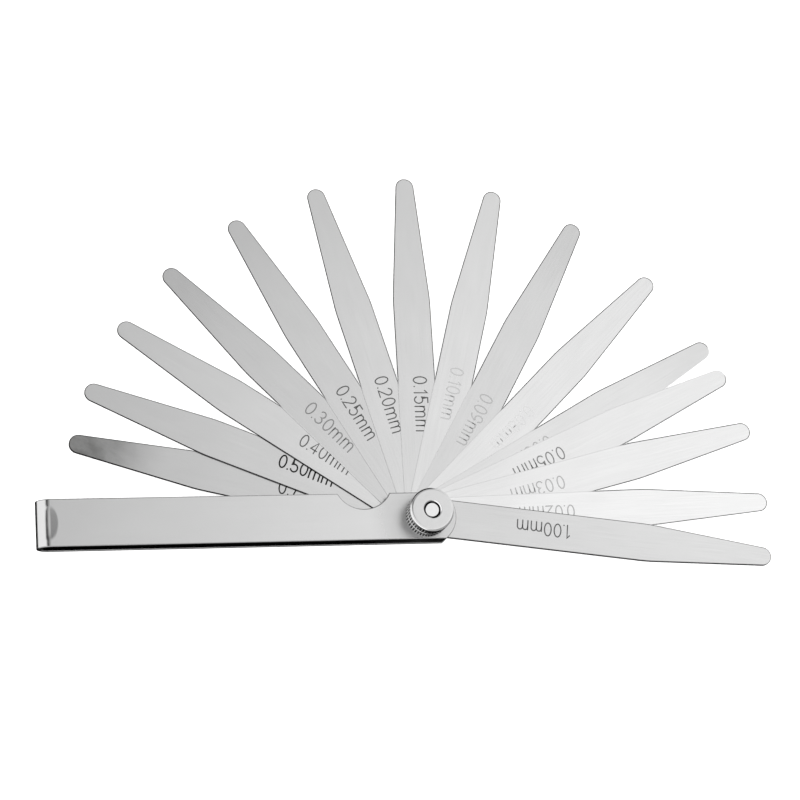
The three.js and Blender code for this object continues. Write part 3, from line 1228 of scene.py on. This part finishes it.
@dataclass(frozen=True)
class LightTent:
    """The soft surroundings: a bright patch overhead, a bright wall that stops short of +Y, a dimmer back.

    Attributes:
        patch_axis: Direction of the middle of the overhead patch.
        patch_reach: Angle over which the patch fades away, in degrees.
        patch_light: Brightness in the middle of the patch.
        wall_light: Brightness of the wall.
        wall_lean: How much lower the wall ends towards +Y than towards -Y.
        back_light: Brightness of the upper part of the back.
        ambient: Brightness of everything else.
    """

    patch_axis: Tuple[float, float, float] = (0.40, 0.15, 0.904)
    patch_reach: float = 41.0
    patch_light: float = 1.42
    wall_light: float = 1.2
    wall_lean: float = 0.6
    back_light: float = 0.75
    ambient: float = 0.02

    def build(self) -> None:
        """Makes the world that lights the gauge and shows in its metal."""
        world = bpy.data.worlds.new("light_tent")
        bpy.context.scene.world = world
        world.use_nodes = True
        tree = world.node_tree
        way = add_node(tree, PLACE, {})["Generated"]
        split = add_node(tree, "ShaderNodeSeparateXYZ", {"Vector": way})
        along, across, up = (split[name] for name in ("X", "Y", "Z"))
        facing = add_node(tree, "ShaderNodeVectorMath", {0: way, 1: self.patch_axis}, operation="DOT_PRODUCT")
        angle = add_node(tree, MATH, {0: facing["Value"]}, operation="ARCCOSINE")[0]
        fade = (angle, 0.0, math.radians(self.patch_reach), self.patch_light, 0.0)
        patch = add_node(tree, RANGE, fade, **SMOOTH)[0]
        right = add_node(tree, MATH, (along, 0.0), operation="MAXIMUM")[0]
        leaning = add_node(tree, MATH, (across, self.wall_lean, up), operation="MULTIPLY_ADD")[0]
        behind = add_node(tree, MATH, (right, -1.2, across), operation="MULTIPLY_ADD")[0]
        corner = add_node(tree, MATH, (along, across), operation="SUBTRACT")[0]
        wall = add_node(tree, RANGE, (up, -0.45, -0.3, 0.0, self.wall_light), **SMOOTH)[0]
        ends = ((leaning, 1.0, 1.05, 1.0, 0.0), (behind, 0.38, 0.68, 1.0, 0.0), (corner, 0.6, 1.0, 1.0, 0.4))
        for fade in ends:
            share = add_node(tree, RANGE, fade, **SMOOTH)[0]
            wall = add_node(tree, MATH, (wall, share), operation="MULTIPLY")[0]
        back = add_node(tree, RANGE, (across, 0.4, 0.6, 0.0, self.back_light), **SMOOTH)[0]
        for fade in ((up, 0.34, 0.5, 0.0, 1.0), (across, 0.74, 0.84, 1.0, 0.0)):
            share = add_node(tree, RANGE, fade, **SMOOTH)[0]
            back = add_node(tree, MATH, (back, share), operation="MULTIPLY")[0]
        both = add_node(tree, MATH, {0: patch, 1: wall}, operation="MAXIMUM")[0]
        both = add_node(tree, MATH, {0: both, 1: back}, operation="MAXIMUM")[0]
        light = add_node(tree, MATH, {0: both, 1: self.ambient}, operation="ADD")[0]
        set_inputs(tree.nodes["Background"], {"Color": light})


@dataclass(frozen=True)
class Studio:
    """The pale floor, the backdrop, the overhead fill and the camera.

    Attributes:
        camera_at: Place of the camera.
        aim: Point that it looks at.
        roll: Its turn about its own axis, in degrees.
        lens: Focal length for the default 36 mm sensor.
        paper: Colour of the floor and the backdrop.
        floor_height: Height of the floor.
        floor_radius: Radius of the floor and the backdrop.
        wall_height: Height of the backdrop's upper end.
        fill_power: Power of the overhead light, in watts.
        fill_at: Place of the overhead light.
        fill_width: Width of the overhead light.
    """

    camera_at: Tuple[float, float, float] = (-155.1, -158.6, 662.1)
    aim: Tuple[float, float, float] = (-5.0, 31.5, 7.1)
    roll: float = 35.95
    lens: float = 118.8
    paper: str = "#F5F5F5"
    floor_height: float = -0.02
    floor_radius: float = 12000.0
    wall_height: float = 6000.0
    fill_power: float = 34.0
    fill_at: Tuple[float, float, float] = (-300.0, -300.0, 1600.0)
    fill_width: float = 1600.0

    def build(self) -> None:
        """Builds everything that isn't part of the gauge."""
        bpy.context.scene.view_settings.view_transform = "Standard"
        LightTent().build()
        self.build_paper()
        self.build_fill()
        self.build_camera()

    def build_paper(self) -> None:
        """Lays the floor and stands the backdrop. Neither shows in the metal, which sees only the tent."""
        material, tree, shader = new_material("matt_white_background_paper")
        fibres = stretched_noise(tree, (3.0, 3.0, 3.0))
        tone = {0: fibres, 6: linear(self.paper, 0.995), 7: linear(self.paper, 1.005)}
        colour = add_node(tree, MIX, tone, data_type="RGBA")[2]
        set_inputs(shader, {"Base Color": colour, "Roughness": 1.0, "Specular IOR Level": 0.0})
        rim = [Vector((x, y, 0)) * MM for x, y in circle(self.floor_radius, ROUND)]
        levels = (self.floor_height, self.wall_height)
        for name, heights in (("floor", levels[:1]), ("backdrop", levels)):
            lifts = [Vector((0, 0, height * MM)) for height in heights]
            mesh = bmesh.new()
            rows = [[mesh.verts.new(point + lift) for point in rim] for lift in lifts]
            if name == "floor":
                mesh.faces.new(rows[0])
            else:
                bridge(mesh, *rows)
            data = bpy.data.meshes.new(name)
            mesh.to_mesh(data)
            mesh.free()
            data.materials.append(material)
            sweep = bpy.data.objects.new(name, data)
            bpy.context.scene.collection.objects.link(sweep)
            sweep.visible_glossy = False
            sweep.visible_shadow = False
            sweep.visible_diffuse = name == "floor"

    def build_fill(self) -> None:
        """Hangs a broad soft light overhead that whitens the paper and isn't seen in the metal."""
        data = bpy.data.lights.new("overhead_fill", "AREA")
        data.shape = "DISK"
        data.size = self.fill_width * MM
        data.energy = self.fill_power
        lamp = bpy.data.objects.new("overhead_fill", data)
        lamp.location = Vector(self.fill_at) * MM
        lamp.rotation_mode = "QUATERNION"
        lamp.rotation_quaternion = Vector(lamp.location).to_track_quat("Z", "Y")
        lamp.visible_glossy = False
        data.use_shadow = False
        bpy.context.scene.collection.objects.link(lamp)

    def build_camera(self) -> None:
        """Sets the camera."""
        data = bpy.data.cameras.new("camera")
        data.lens = self.lens
        data.clip_start, data.clip_end = 0.01, 50.0
        camera = bpy.data.objects.new("camera", data)
        camera.location = Vector(self.camera_at) * MM
        heading = (Vector(self.aim) - Vector(self.camera_at)).to_track_quat("-Z", "Y")
        camera.rotation_mode = "QUATERNION"
        camera.rotation_quaternion = heading @ Quaternion((0, 0, 1), math.radians(self.roll))
        bpy.context.scene.collection.objects.link(camera)
        bpy.context.scene.camera = camera


def main() -> None:
    """Builds the studio and then the gauge, from its case to its nut."""
    logging.basicConfig(level=logging.INFO, format="%(name)s: %(message)s")
    Studio().build()
    # The inner sheet's dark colour is painted shade inside the case's gap.
    inside = NickelledSheet("inner_sheet_painted_shade", "#4C4C4C").make()
    sheared = DeburredSteelEdge("sheared_sheet_edge", "#B0B0B0").make()
    HairpinCase().build(NickelledSheet().make(), sheared, inside)
    # The thread's dark material is painted shade, also used in the nut's knurl valleys and under its rim.
    thread = TurnedNickel("thread_and_valley_painted_shade", "#222222").make()
    PivotScrew().build(TurnedNickel("bright_zinc_plated_screw_steel", "#DEDEDE").make(), thread)
    etches = {depth: EtchedOxide(depth).make() for depth in EtchDepth}
    for node, look in BLADE_LOOKS.items():
        ThicknessBlade(node, look).build(etches)
    # The bright bevel material is a painted highlight.
    bevel_highlight = TurnedNickel("nickel_bevel_painted_highlight", "#F2F2F2").make()
    ThumbNut().build((TurnedNickel("turned_nickel_plated_steel").make(), thread, bevel_highlight))


if __name__ == "__main__":
    main()
